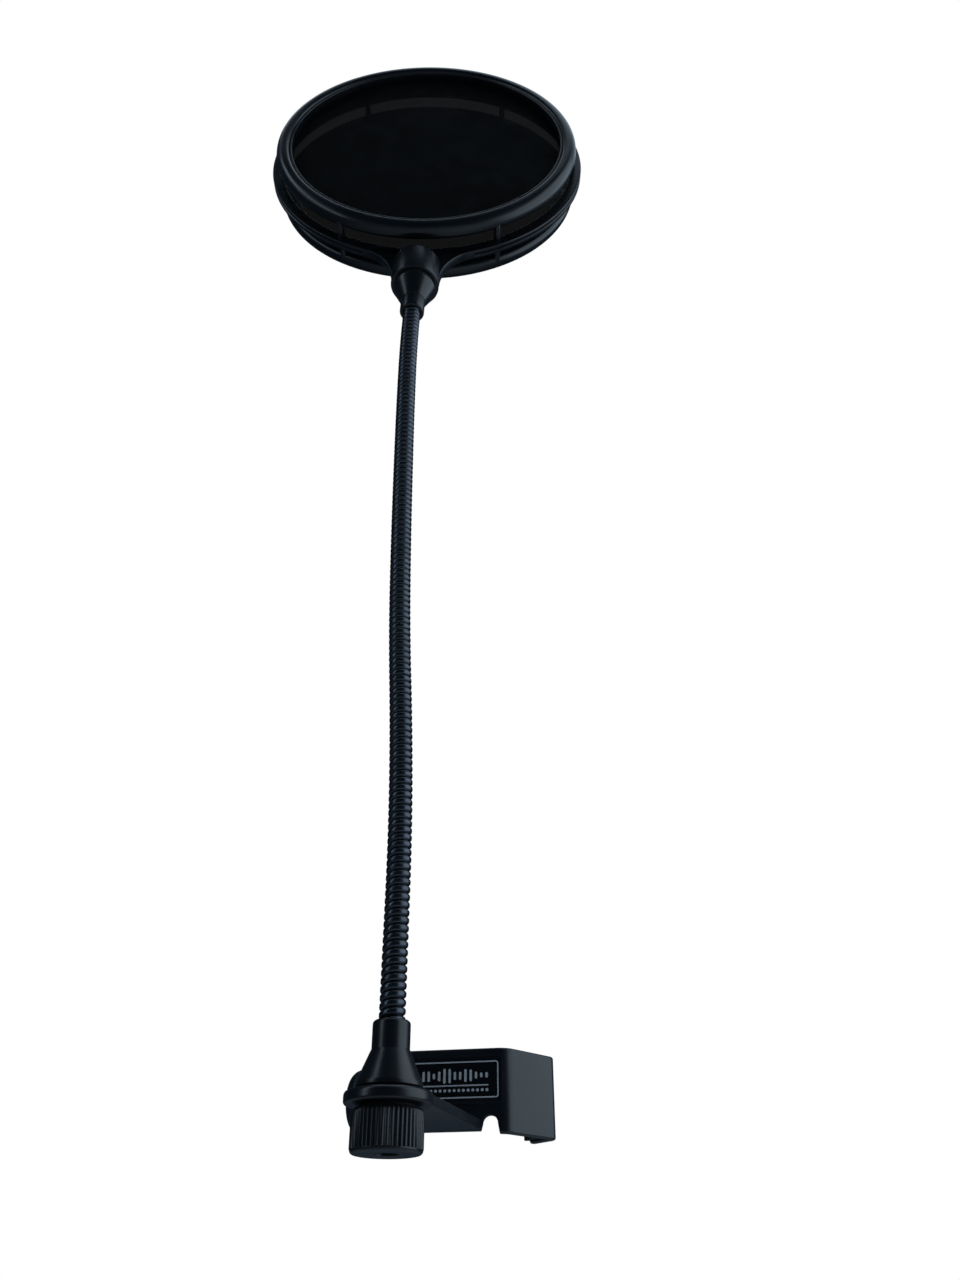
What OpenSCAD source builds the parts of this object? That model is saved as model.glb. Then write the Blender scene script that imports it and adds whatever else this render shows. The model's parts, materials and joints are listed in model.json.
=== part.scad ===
// Studio pop filter: a double nylon screen on a gooseneck, held to a microphone
// stand tube by a small screw clamp.  Millimetres, +Z up along the stand tube,
// +X to the right of the screen seen from its front, +Y away from the speaker.
// The origin is on the stand tube's axis, halfway up the clamp.

/* [Head] */
// Outer diameter of each screen ring
ring_d = 153; // [140:1:170]
// Outer diameter of the middle hoop that carries both rings
hoop_d = 159.6; // [146:0.2:178]
// Radial width of a screen ring's moulding
ring_w = 7; // [6:0.5:9]
// Depth of a screen ring along the head's axis
ring_depth = 7.8; // [7:0.2:9]
// Distance from the head's mid plane to the front of the front ring
ring_front = 15.2; // [14:0.2:18]
// Depth of the middle hoop along the head's axis
hoop_depth = 4.4; // [4:0.2:6]
// Radial width of the middle hoop
hoop_w = 5.6; // [4.5:0.1:7]
// Number of spacer pegs round the head
peg_count = 6; // [4:1:8]

/* [Gooseneck] */
// Outer diameter of the wound hose
neck_d = 8; // [7:0.5:9]
// Length of hose that shows between the two ferrules
neck_len = 310.4; // [250:0.2:360]
// Number of places where the hose is modelled as bending
bend_count = 8; // [8:1:8]
// Backward lean of the head, in degrees
head_lean = 2.3; // [0:0.1:5]

/* [Ferrules and swivel] */
// Foot diameter of a ferrule
ferrule_d = 19.3; // [17:0.1:22]
// Height of a ferrule
ferrule_h = 18.4; // [17:0.1:22]
// Diameter of the knurled swivel nut
nut_d = 20.6; // [18:0.1:24]
// Height of the knurled swivel nut
nut_h = 11.6; // [10:0.1:16]
// Number of ribs on the swivel nut
nut_ribs = 46; // [36:1:56]
// Thread diameter of the two studs
stud_d = 5.9; // [5:0.1:7]

/* [Clamp] */
// Diameter of the stand tube that the clamp is set for
tube_d = 20; // [19:0.5:20]
// Height of the clamp bracket
wall_h = 24; // [22:1:28]
// Thickness of the bracket's walls
wall_t = 2.8; // [2.4:0.1:3.4]
// Turn of the bracket about the stand tube, in degrees
bracket_yaw = 10; // [0:1:20]
// Distance from the swivel eye's centre to the front of the label wall
wall_reach = 48.8; // [46:0.2:50]
// Diameter of the swivel eye at the front of the foot plate
eye_d = 25.4; // [23:0.2:26]
// Diameter of the clamp knob
knob_d = 21; // [18:0.5:23]
// Length of the clamp knob
knob_len = 12; // [10:0.5:13]
// Thread diameter of the clamp screw
screw_d = 7.9; // [6:0.1:8]

/* [Hidden] */
$fn = 96;
running_gap = 0.05;          // radial play of a turning or sliding shaft

// Heights over the bracket's underside, along the gooseneck's base axis.
base_z = -wall_h / 2;
plate_t = 3.2;
eye_t = 3.6;
eye_soft = 0.9;
swivel_washer_t = 0.8;
ferrule_z = eye_t + swivel_washer_t;
hose_z = ferrule_z + ferrule_h;
thrust_washer_t = 0.8;
thrust_washer_r = 8;
swivel_washer_r = 8.7;
eye_clearance = 1.2;         // radial room round the stud in the eye

// Places in the bracket's own plan, measured from the swivel eye:
// first number to the right along the label wall, second backwards.
tube_at = [21.6, 66.5];
wall_left = -13;
elbow_at = [25.6, wall_reach + wall_t / 2];
hook_at = [38.6, 67.6];
hook_end = [30.3, 75.1];
liner_front = [26.3, 57.3];
liner_back = [28, 75.2];
arm_t = 6.4;
arm_end = 75;
notch_at = 20.6;
notch_r = 2.6;
notch_top = 4.5;

// Ferrule profile.
sleeve_r = 5.55;
sleeve_step = 0.15;
sleeve_round = 1;
cone_h = 10.2;
foot_soft = 0.4;
foot_edge = 1.1;
hose_bore_r = neck_d / 2 + running_gap;
hose_seat = 7.6;

// The hose leans a little to one side and back as it rises: the sideways and
// backward offset of each bend, and of the head joint after the last bend.
sway = [0, 0, -1.3, -3.6, -4.7, -5.4, -5.9, -6.0];
head_joint_at = [-4.8, 1.5];
bend_step = neck_len / bend_count;
hose_r = neck_d / 2 - 0.05;
hose_core_r = 2;
ball_r = neck_d / 2 + 0.6;
ball_gap = 0.3;
head_washer_t = 1.6;
head_washer_r = 9.2;
stud_seat = 9.6;             // how deep a stud is sunk in a ferrule
head_joint_z = hose_z + neck_len + ferrule_h + head_washer_t;

// Head, measured from the foot of the socket boss along the head's own axis.
head_up = 100.4;
boss_r = 11.2;
boss_h = 16;
fillet_r = 24;
ring_r = ring_d / 2;
hoop_r = hoop_d / 2;
rim_r = 2.8;
press_w = 1.2;
press_depth = 3.4;
screen_t = 0.6;
shelf_depth = 3;
ring_back = ring_front - ring_depth;
bore_r = ring_r - ring_w;
peg_r = 1.5;
peg_at = (ring_r + hoop_r - hoop_w) / 2 - 0.1;
peg_reach = ring_back + 2.6;

stud_r = stud_d / 2;
insert_r = 5;
socket_depth = 12;
stud_reach = 10;             // how far the upper stud stands up in the boss
screw_r = screw_d / 2;
bush_r = insert_r + 0.8;
screw_head_r = 6.5;
screw_head_t = 5;
screw_tip = 1.4;             // the screw's end behind the pad's front
knob_skin = 3;
knob_round = 5;
nut_top = -thrust_washer_t;
nut_low = nut_top - nut_h;
nut_rim = 2;
nut_crown = 1;
nut_chamfer = 0.9;
nut_rim_step = 0.2;
nut_insert_t = 9;
rib_depth = 0.45;
screw_z = wall_h / 2;
pad_gap = 0.6;
pad_r = 7;
pad_t = 3.4;
pad_floor = 1.2;
facing_t = 1.6;
facing_margin = 0.4;
seat_r = tube_d / 2;
pad_face = tube_at[0] - seat_r - pad_gap;
knob_left = -30.6;
label_size = [33.6, 12];
label_at = [7, 15.1];
label_t = 0.7;
label_gap = 0.1;
fit_gap = 0.05;              // a screen's edge in its ring
press_gap = 0.02;

NECKS = [for (i = [1:bend_count + 1]) str("gooseneck_", i)];

abs_black = [0.07, 0.07, 0.08];
rubber_black = [0.04, 0.04, 0.04];
nylon_black = [0.03, 0.03, 0.035];
steel_black = [0.10, 0.10, 0.11];
zinc = [0.62, 0.64, 0.66];
brass = [0.72, 0.58, 0.30];

// ---- frames -----------------------------------------------------------------

// The bracket's plan: origin at the swivel eye's centre, on the underside.
module at_eye() {
    rotate([0, 0, -bracket_yaw])
        translate([-tube_at[0], -tube_at[1], base_z])
            children();
}

// Where the eye's centre falls in the part's own frame.
function turned(p, a) = [p[0] * cos(a) - p[1] * sin(a), p[0] * sin(a) + p[1] * cos(a)];
eye_at = turned([-tube_at[0], -tube_at[1]], -bracket_yaw);

// Centre of bend i, from 1 at the foot.
function bend(i) = [eye_at[0] + sway[i - 1], eye_at[1],
    base_z + hose_z + bend_step * (i - 0.5)];
head_joint = [eye_at[0] + head_joint_at[0], eye_at[1] + head_joint_at[1],
    base_z + head_joint_z];
hose_foot = [eye_at[0], eye_at[1], base_z + hose_z - hose_seat];

// Turns +Z along the line from p to q without spinning about it.
module aim(p, q) {
    d = (q - p) / norm(q - p);
    translate(p)
        rotate([-asin(d[1]), atan2(d[0], d[2]), 0])
            children();
}

// The base axis, upright on the eye; the head's axis, from the last bend on.
module at_base() {
    translate([eye_at[0], eye_at[1], base_z])
        children();
}

module at_head() {
    translate(head_joint)
        aim([0, 0, 0], head_joint - bend(bend_count))
            children();
}

// The head's own disc frame: +Z towards the speaker, origin at the rings' centre.
module at_rings() {
    at_head()
        translate([0, 0, head_up])
            rotate([90, 0, 0])
                children();
}

// ---- shared shapes ----------------------------------------------------------

module tube(r_out, r_in, h) {
    difference() {
        cylinder(r = r_out, h = h);
        translate([0, 0, -1])
            cylinder(r = r_in, h = h + 2);
    }
}

// Left-hand normal of the line from p to q, and the mitred corner at q between
// p and r, stood off by s to the left.
function left_of(p, q) = [p[1] - q[1], q[0] - p[0]] / norm(q - p);
function mitre(p, q, r, s) =
    let (a = left_of(p, q), b = left_of(q, r))
    q + s * (a + b) / (1 + a * b);

// A rod along the clamp screw's line, from u0 to u1 in the bracket's plan.
module along_screw(u0, u1, r) {
    translate([u0, tube_at[1], screw_z])
        rotate([0, 90, 0])
            cylinder(r = r, h = u1 - u0);
}

// Disc with a softened rim.
module soft_disc(r, t, soft) {
    rotate_extrude()
        polygon([[0, 0], [r - soft, 0], [r, soft], [r, t - soft], [r - soft, t], [0, t]]);
}

// ---- clamp ------------------------------------------------------------------

// Where the straight edge from p runs into the eye's disc, just inside its rim, on side s.
function touch(p, s) =
    let (r = eye_d / 2 - eye_soft - 0.1, a = atan2(p[1], p[0]) + s * acos(r / norm(p)))
    [r * cos(a), r * sin(a)];

module foot_plate_plan() {
    right = [notch_at - notch_r, wall_reach + wall_t / 2];
    left = [wall_left, wall_reach + wall_t / 2];
    polygon([touch(right, -1), right, left, touch(left, 1)]);
}

module c_plan() {
    start = [wall_left, elbow_at[1]];
    t = wall_t / 2;
    end = t * left_of(hook_at, hook_end);
    polygon([start - [0, t], mitre(start, elbow_at, hook_at, -t),
        mitre(elbow_at, hook_at, hook_end, -t), hook_end - end, hook_end + end,
        mitre(elbow_at, hook_at, hook_end, t), mitre(start, elbow_at, hook_at, t),
        start + [0, t]]);
}

module label_pocket() {
    translate([label_at[0] - label_size[0] / 2, wall_reach - 1,
        label_at[1] - label_size[1] / 2])
        cube([label_size[0], label_t + 1, label_size[1]]);
}

module clamp_bracket() {
    color(abs_black)
        at_eye()
            difference() {
                union() {
                    linear_extrude(wall_h)
                        c_plan();
                    translate([wall_left, wall_reach, 0])
                        cube([arm_t, arm_end - wall_reach, wall_h]);
                    linear_extrude(plate_t)
                        foot_plate_plan();
                    soft_disc(eye_d / 2, eye_t, eye_soft);
                }
                translate([0, 0, -1])
                    cylinder(r = stud_r + eye_clearance, h = eye_t + 2);
                along_screw(wall_left - 1, wall_left + arm_t + 1, bush_r);
                translate([notch_at, wall_reach + wall_t / 2, notch_top - notch_r])
                    rotate([90, 0, 0])
                        cylinder(r = notch_r, h = 3 * wall_t, center = true);
                translate([notch_at - notch_r, wall_reach - wall_t, -1])
                    cube([2 * notch_r, 3 * wall_t, notch_top - notch_r + 1]);
                label_pocket();
            }
}

module label_plate() {
    color(nylon_black)
        at_eye()
            translate([label_at[0] - label_size[0] / 2 + label_gap, wall_reach + label_gap,
                label_at[1] - label_size[1] / 2 + label_gap])
                cube([label_size[0] - 2 * label_gap, label_t - label_gap,
                    label_size[1] - 2 * label_gap]);
}

// Rubber saddle in the crook of the hook, hollowed for the stand tube.
module jaw_liner() {
    color(rubber_black)
        at_eye()
            difference() {
                linear_extrude(wall_h)
                    difference() {
                        polygon([liner_front, [30, liner_front[1]], hook_at, hook_end, liner_back]);
                        c_plan();
                    }
                translate([tube_at[0], tube_at[1], -1])
                    cylinder(r = seat_r, h = wall_h + 2);
            }
}

module screw_bush() {
    color(brass)
        at_eye()
            difference() {
                along_screw(wall_left, wall_left + arm_t, bush_r);
                along_screw(wall_left - 1, wall_left + arm_t + 1, screw_r + running_gap);
            }
}

// Hexagonal head that the knob is moulded round.
module screw_head() {
    translate([knob_left + knob_skin, tube_at[1], screw_z])
        rotate([0, 90, 0])
            cylinder(r = screw_head_r, h = screw_head_t, $fn = 6);
}

module clamp_screw() {
    color(zinc)
        at_eye() {
            along_screw(knob_left + knob_skin, pad_face - facing_t - screw_tip, screw_r);
            screw_head();
        }
}

module clamp_knob() {
    color(abs_black)
        at_eye()
            difference() {
                translate([knob_left, tube_at[1], screw_z])
                    rotate([0, 90, 0])
                        rotate_extrude()
                            difference() {
                                union() {
                                    square([knob_d / 2 - knob_round, knob_len]);
                                    translate([0, knob_round])
                                        square([knob_d / 2, knob_len - knob_round]);
                                    translate([knob_d / 2 - knob_round, knob_round])
                                        circle(r = knob_round);
                                }
                                translate([-knob_d, 0])
                                    square([knob_d, knob_len]);
                            }
                along_screw(knob_left + knob_skin, knob_left + knob_len + 1, screw_r);
                screw_head();
            }
}

module pressure_pad() {
    color(abs_black)
        at_eye()
            difference() {
                along_screw(pad_face - facing_t - pad_t, pad_face - facing_t, pad_r);
                along_screw(pad_face - facing_t - pad_t - 1, pad_face - facing_t - pad_floor,
                    screw_r + running_gap);
            }
}

module pad_facing() {
    color(rubber_black)
        at_eye()
            along_screw(pad_face - facing_t, pad_face, pad_r - facing_margin);
}

// ---- swivel under the eye ----------------------------------------------------

function ribbed(r, depth, count) = [for (i = [0:4 * count - 1])
    let (a = 90 * i / count, rr = (i % 4 < 2) ? r : r - depth)
    [rr * cos(a), rr * sin(a)]];

module swivel_nut() {
    color(abs_black)
        at_base()
            difference() {
                union() {
                    translate([0, 0, nut_low + nut_rim])
                        linear_extrude(nut_h - nut_rim - nut_crown)
                            polygon(ribbed(nut_d / 2, rib_depth, nut_ribs));
                    translate([0, 0, nut_top - nut_crown])
                        cylinder(r = nut_d / 2 - nut_chamfer, h = nut_crown);
                    translate([0, 0, nut_low])
                        cylinder(r = nut_d / 2 - nut_rim_step, h = nut_rim);
                }
                translate([0, 0, nut_low - 1])
                    cylinder(r = stud_r + eye_clearance / 2, h = nut_h + 2);
                translate([0, 0, nut_top - nut_insert_t])
                    cylinder(r = insert_r, h = nut_insert_t + 1, $fn = 6);
            }
}

module nut_insert() {
    color(brass)
        at_base()
            difference() {
                translate([0, 0, nut_top - nut_insert_t])
                    cylinder(r = insert_r, h = nut_insert_t, $fn = 6);
                translate([0, 0, nut_top - nut_insert_t - 1])
                    cylinder(r = stud_r + running_gap, h = nut_insert_t + 2);
            }
}

module thrust_washer() {
    color(rubber_black)
        at_base()
            translate([0, 0, -thrust_washer_t])
                tube(thrust_washer_r, stud_r + 6 * running_gap, thrust_washer_t);
}

module swivel_washer() {
    color(rubber_black)
        at_base()
            translate([0, 0, eye_t])
                tube(swivel_washer_r, stud_r + running_gap, swivel_washer_t);
}

// ---- ferrules and hose --------------------------------------------------------

// Foot at z = 0, hose mouth at the top.
module ferrule() {
    foot_r = ferrule_d / 2;
    difference() {
        rotate_extrude() {
            polygon([[0, 0], [foot_r - foot_soft, 0], [foot_r, foot_soft], [foot_r, foot_edge],
                [sleeve_r + sleeve_step, cone_h], [sleeve_r, cone_h],
                [sleeve_r, ferrule_h - sleeve_round], [0, ferrule_h - sleeve_round]]);
            square([sleeve_r - sleeve_round, ferrule_h]);
            intersection() {
                translate([sleeve_r - sleeve_round, ferrule_h - sleeve_round])
                    circle(r = sleeve_round);
                translate([0, ferrule_h - sleeve_round])
                    square([sleeve_r, sleeve_round]);
            }
        }
        translate([0, 0, ferrule_h - hose_seat])
            cylinder(r = hose_bore_r, h = hose_seat + 1);
        translate([0, 0, -1])
            cylinder(r = stud_r, h = ferrule_h);
    }
}

module lower_ferrule() {
    color(abs_black)
        at_base()
            translate([0, 0, ferrule_z])
                ferrule();
}

module lower_stud() {
    color(zinc)
        at_base()
            translate([0, 0, nut_low + nut_rim])
                cylinder(r = stud_r, h = ferrule_z + stud_seat - nut_low - nut_rim);
}

// One length of hose from p to q; a convex end turns in the next one's hollow.
module hose_length(p, q, hollow_foot, domed_top) {
    len = norm(q - p);
    aim(p, q)
        difference() {
            union() {
                cylinder(r = hose_r, h = len);
                if (domed_top)
                    translate([0, 0, len])
                        intersection() {
                            sphere(r = ball_r);
                            cylinder(r = hose_r, h = ball_r);
                        }
            }
            if (hollow_foot)
                sphere(r = ball_r + ball_gap);
            translate([0, 0, -1])
                cylinder(r = hose_core_r, h = len + ball_r + 2);
        }
}

module gooseneck(i) {
    first = i == 1;
    last = i == bend_count + 1;
    p = first ? hose_foot : bend(i - 1);
    to_head = head_joint - bend(bend_count);
    q = last ? p + to_head * (1 - (head_washer_t + ferrule_h - hose_seat) / norm(to_head)) : bend(i);
    color(steel_black)
        hose_length(p, q, !first, !last);
}

module upper_ferrule() {
    color(abs_black)
        at_head()
            translate([0, 0, -head_washer_t])
                mirror([0, 0, 1])
                    ferrule();
}

module upper_stud() {
    color(zinc)
        at_head()
            translate([0, 0, -head_washer_t - stud_seat])
                cylinder(r = stud_r, h = head_washer_t + stud_seat + stud_reach);
}

// ---- head ---------------------------------------------------------------------

module head_washer() {
    color(rubber_black)
        at_head()
            translate([0, 0, -head_washer_t])
                tube(head_washer_r, stud_r + running_gap, head_washer_t);
}

// The flared web between the socket boss and the hoop, in the head's plane.
module web_plan() {
    side = boss_r + fillet_r;
    drop = sqrt(pow(hoop_r + fillet_r, 2) - pow(side, 2));
    foot = head_up - drop;
    share = hoop_r / (hoop_r + fillet_r);
    touch_at = [side * share, head_up - drop * share];
    difference() {
        polygon([[-side, foot], [side, foot], touch_at, [-touch_at[0], touch_at[1]]]);
        for (s = [-1, 1])
            translate([s * side, foot])
                circle(r = fillet_r);
    }
}

module hoop_section() {
    half = hoop_depth / 2;
    soft = 0.5;
    groove = 0.4;
    polygon([[hoop_r - hoop_w, -half + soft], [hoop_r - hoop_w + soft, -half],
        [hoop_r - soft, -half], [hoop_r, -half + soft], [hoop_r, -groove],
        [hoop_r - 2 * groove, 0], [hoop_r, groove], [hoop_r, half - soft],
        [hoop_r - soft, half], [hoop_r - hoop_w + soft, half], [hoop_r - hoop_w, half - soft]]);
}

module pegs(r) {
    for (i = [0:peg_count - 1])
        rotate([0, 0, 360 * i / peg_count])
            translate([peg_at, 0, -peg_reach])
                cylinder(r = r, h = 2 * peg_reach, $fn = 32);
}

module carrier_hoop() {
    color(abs_black)
        difference() {
            union() {
                at_rings()
                    rotate_extrude($fn = 180)
                        hoop_section();
                at_head() {
                    rotate([90, 0, 0])
                        translate([0, 0, -hoop_depth / 2])
                            linear_extrude(hoop_depth)
                                web_plan();
                    cylinder(r = boss_r, h = boss_h);
                }
            }
            at_rings()
                pegs(peg_r);
            at_head()
                translate([0, 0, -1])
                    cylinder(r = insert_r, h = socket_depth + 1);
        }
}

module socket_insert() {
    color(brass)
        at_head()
            tube(insert_r, stud_r + running_gap, socket_depth);
}

module spacer_pegs() {
    color(abs_black)
        at_rings()
            pegs(peg_r);
}

// Ring moulding: round outside, a shelf inside that the screen lies on.
module ring_section() {
    out = ring_r - rim_r;
    lip_r = bore_r - press_w;
    polygon([[lip_r, ring_back + 0.4], [lip_r + 0.4, ring_back], [out, ring_back],
        [ring_r, ring_back + rim_r], [ring_r, ring_front - rim_r], [out, ring_front],
        [bore_r + 0.5, ring_front], [bore_r, ring_front - 0.5], [bore_r, ring_back + shelf_depth],
        [lip_r, ring_back + shelf_depth]]);
    for (y = [ring_back + rim_r, ring_front - rim_r])
        translate([out, y])
            circle(r = rim_r);
}

module ring() {
    difference() {
        rotate_extrude($fn = 180)
            ring_section();
        pegs(peg_r);
    }
}

module screen() {
    translate([0, 0, ring_back + shelf_depth])
        cylinder(r = bore_r - fit_gap, h = screen_t, $fn = 180);
}

module press_ring() {
    foot = ring_back + shelf_depth + screen_t;
    translate([0, 0, foot])
        rotate_extrude($fn = 180)
            translate([bore_r - press_w, 0])
                polygon([[0, 0], [press_w - press_gap, 0], [press_w - press_gap, press_depth - 0.4],
                    [press_w - 0.4, press_depth], [0.4, press_depth], [0, press_depth - 0.4]]);
}

module front_ring() {
    color(abs_black)
        at_rings()
            ring();
}

module front_screen() {
    color(nylon_black)
        at_rings()
            screen();
}

module front_press_ring() {
    color(abs_black)
        at_rings()
            press_ring();
}

module rear_ring() {
    color(abs_black)
        at_rings()
            mirror([0, 0, 1])
                ring();
}

module rear_screen() {
    color(nylon_black)
        at_rings()
            mirror([0, 0, 1])
                screen();
}

module rear_press_ring() {
    color(abs_black)
        at_rings()
            mirror([0, 0, 1])
                press_ring();
}

clamp_bracket();
label_plate();
jaw_liner();
screw_bush();
pressure_pad();
pad_facing();
clamp_screw();
clamp_knob();
swivel_nut();
nut_insert();
thrust_washer();
swivel_washer();
lower_stud();
lower_ferrule();
for (i = [1:bend_count + 1])
    gooseneck(i);
upper_ferrule();
upper_stud();
head_washer();
carrier_hoop();
socket_insert();
spacer_pegs();
front_ring();
front_screen();
front_press_ring();
rear_ring();
rear_screen();
rear_press_ring();
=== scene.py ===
"""Studio pop filter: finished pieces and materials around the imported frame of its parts."""

import json
import math

import bmesh
import bpy
from bpy.props import FloatProperty, FloatVectorProperty, IntProperty, PointerProperty
from mathutils import Matrix, Vector


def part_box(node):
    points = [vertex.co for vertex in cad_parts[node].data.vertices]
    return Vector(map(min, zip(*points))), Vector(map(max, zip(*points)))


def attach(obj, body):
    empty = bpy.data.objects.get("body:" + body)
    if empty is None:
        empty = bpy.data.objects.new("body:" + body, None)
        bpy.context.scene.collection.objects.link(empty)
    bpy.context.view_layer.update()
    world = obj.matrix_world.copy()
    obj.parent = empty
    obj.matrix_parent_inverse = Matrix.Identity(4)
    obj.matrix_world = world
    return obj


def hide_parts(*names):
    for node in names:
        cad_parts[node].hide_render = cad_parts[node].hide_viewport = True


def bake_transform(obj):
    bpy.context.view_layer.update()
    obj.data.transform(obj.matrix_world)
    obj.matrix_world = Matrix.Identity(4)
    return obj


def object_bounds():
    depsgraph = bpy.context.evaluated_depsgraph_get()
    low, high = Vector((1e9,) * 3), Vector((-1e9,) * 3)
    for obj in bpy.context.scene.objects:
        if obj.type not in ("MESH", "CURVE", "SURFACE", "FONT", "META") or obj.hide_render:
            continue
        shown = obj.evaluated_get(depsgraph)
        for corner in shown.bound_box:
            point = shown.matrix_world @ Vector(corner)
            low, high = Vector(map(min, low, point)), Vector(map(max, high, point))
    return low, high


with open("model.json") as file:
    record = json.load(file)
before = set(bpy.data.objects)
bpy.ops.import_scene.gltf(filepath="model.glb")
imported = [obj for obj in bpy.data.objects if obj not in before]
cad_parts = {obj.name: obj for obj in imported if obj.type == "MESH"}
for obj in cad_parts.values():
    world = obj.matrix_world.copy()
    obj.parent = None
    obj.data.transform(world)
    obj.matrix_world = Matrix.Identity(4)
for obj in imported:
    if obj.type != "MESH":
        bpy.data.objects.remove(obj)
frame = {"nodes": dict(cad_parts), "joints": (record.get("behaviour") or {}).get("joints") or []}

bl_info = {
    "name": "Studio pop filter",
    "version": (1, 0, 0),
    "blender": (4, 5, 0),
    "location": "3D View > Sidebar > Pop filter",
    "description": "Builds a double-screen pop filter on a gooseneck with a stand clamp",
    "category": "Add Mesh",
}

MM = 0.001
CAD_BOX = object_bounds()
JOINTS = {joint["name"]: joint for joint in frame["joints"]}
BENDS = 8


# ---- places, all from the frame ------------------------------------------------

def joint_at(name):
    return Vector(JOINTS[name]["pos_m"])


def middle_of(*nodes):
    """The middle of several nodes' boxes."""
    corners = [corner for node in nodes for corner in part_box(node)]
    return sum(corners, Vector()) / len(corners)


def upright_along(axis):
    """Turns +Z onto axis without spinning about it."""
    lean = Matrix.Rotation(-math.asin(axis.y), 4, "X")
    return Matrix.Rotation(math.atan2(axis.x, axis.z), 4, "Y") @ lean


FOOT_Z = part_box("clamp_bracket")[0].z
EYE = Vector((*joint_at("base_swivel").xy, FOOT_Z))
ACROSS = Vector(JOINTS["pad_feed"]["axis"])
UP = Vector((0, 0, 1))
HEAD_UP = Vector(JOINTS["head_turn"]["axis"]).normalized()
IN_MM = Matrix.Scale(MM, 4)

# Each place turns a shape modelled in millimetres into the frame's metres.
BASE = Matrix.Translation(EYE) @ IN_MM
BRACKET = (
    Matrix.Translation(EYE)
    @ Matrix((ACROSS, UP.cross(ACROSS), UP)).transposed().to_4x4()
    @ IN_MM
)
HEAD = Matrix.Translation(joint_at("head_turn")) @ upright_along(HEAD_UP) @ IN_MM
HEAD_RISE = (middle_of("front_ring", "rear_ring") - joint_at("head_turn")).length / MM
RINGS = HEAD @ Matrix.Translation((0, 0, HEAD_RISE)) @ Matrix.Rotation(math.radians(90), 4, "X")
BACKWARDS = Matrix.Rotation(math.radians(180), 4, "X")
TO_RIGHT = Matrix.Rotation(math.radians(90), 4, "Y")


# The bracket's plan in millimetres: U across and V backwards from the swivel eye, W up.
WALL_V, WALL_THICK, WALL_TALL, WALL_LOW, WALL_LEFT = 48.8, 2.8, 24.7, -1.0, -13.0
ELBOW, HOOK, HOOK_END = Vector((25.6, 50.2)), Vector((38.6, 67.6)), Vector((30.3, 75.1))
ARM_THICK, ARM_END, BUSH_R = 6.4, 75.0, 5.8
FOOT_THICK = 3.2
EYE_RADIUS, EYE_THICK, EYE_HOLE = 12.7, 3.6, 4.15
NOTCH_U, NOTCH_R, NOTCH_TOP = 20.6, 2.6, 4.5
LABEL_U, LABEL_W = 7.0, 15.1
LABEL_WIDE, LABEL_TALL = 33.4, 11.8


# ---- settings --------------------------------------------------------------------

def linear(code):
    """An sRGB hex colour as linear red, green and blue."""
    parts = [int(code[i : i + 2], 16) / 255 for i in (1, 3, 5)]
    return [c / 12.92 if c <= 0.04045 else ((c + 0.055) / 1.055) ** 2.4 for c in parts]


def length(name, description, default):
    return FloatProperty(name=name, description=description, default=default, unit="LENGTH", precision=5)


def colour(name, description, code):
    return FloatVectorProperty(
        name=name, description=description, default=linear(code), subtype="COLOR", min=0, max=1
    )


class HeadSettings(bpy.types.PropertyGroup):
    ring_radius: length("Ring radius", "Outer radius of each screen ring", 0.0765)
    ring_front: length("Ring front", "Mid plane of the head to the ring's front", 0.0152)
    ring_depth: length("Ring depth", "Depth of one ring's moulding", 0.0078)
    front_rounding: length("Front rounding", "Radius of a ring's outer front edge", 0.0044)
    back_rounding: length("Back rounding", "Radius of a ring's outer back edge", 0.0026)
    mouth_rounding: length("Mouth rounding", "Radius of a ring's inner front edge", 0.0019)
    bore_radius: length("Bore radius", "Inner radius of a ring in front of its screen", 0.0695)
    lip_radius: length("Lip radius", "Inner radius of the lip and of the press ring", 0.0683)
    hoop_radius: length("Hoop radius", "Outer radius of the carrier hoop", 0.0798)
    hoop_width: length("Hoop width", "Radial width of the carrier hoop", 0.0056)
    hoop_depth: length("Hoop depth", "Depth of the carrier hoop and its web", 0.0044)
    peg_count: IntProperty(name="Pegs", description="Spacer pegs round the head", default=6, min=3)


class HoseSettings(bpy.types.PropertyGroup):
    radius: length("Radius", "Outer radius of the wound hose", 0.00395)
    pitch: length("Pitch", "Rise of one turn of the winding", 0.00245)
    groove: length("Groove", "Depth of the groove between two turns", 0.0008)


class ClampSettings(bpy.types.PropertyGroup):
    corner: length("Corners", "Setback of the rounding at the wall's outer turns", 0.003)
    edge: length("Edges", "Rounding of the bracket's moulded edges", 0.0007)
    nut_ribs: IntProperty(name="Nut ribs", description="Ribs round the swivel nut", default=46, min=12)
    knob_ribs: IntProperty(name="Knob ribs", description="Ribs round the knob", default=44, min=12)
    wave_bars: IntProperty(name="Wave bars", description="Bars in the badge's motif", default=15, min=3)


class FinishSettings(bpy.types.PropertyGroup):
    abs_dark: colour("ABS", "Moulded ABS", "#0b0d10")
    abs_pale: colour("ABS sheen", "Moulded ABS where it has been handled", "#13161b")
    steel: colour("Hose steel", "Black plated spring steel", "#5d6168")
    nylon: colour("Nylon", "Screen nylon", "#020304")
    rubber: colour("Rubber", "Washers, saddle and pad facing", "#131314")
    zinc: colour("Zinc", "Plated screw and studs", "#c4c8cc")
    brass: colour("Brass", "Threaded inserts", "#b8975a")
    badge: colour("Badge", "Gloss of the badge", "#0a0b0d")
    print: colour("Print", "Silver of the badge's motif", "#eef0f2")


class StageSettings(bpy.types.PropertyGroup):
    backdrop: FloatProperty(name="Backdrop", description="Brightness of the backdrop", default=1.0, min=0)
    room: FloatProperty(name="Room", description="Brightness of the room around", default=0.045, min=0)
    floor_drop: length("Floor drop", "Floor below the clamp's underside", 0.9)


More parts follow.
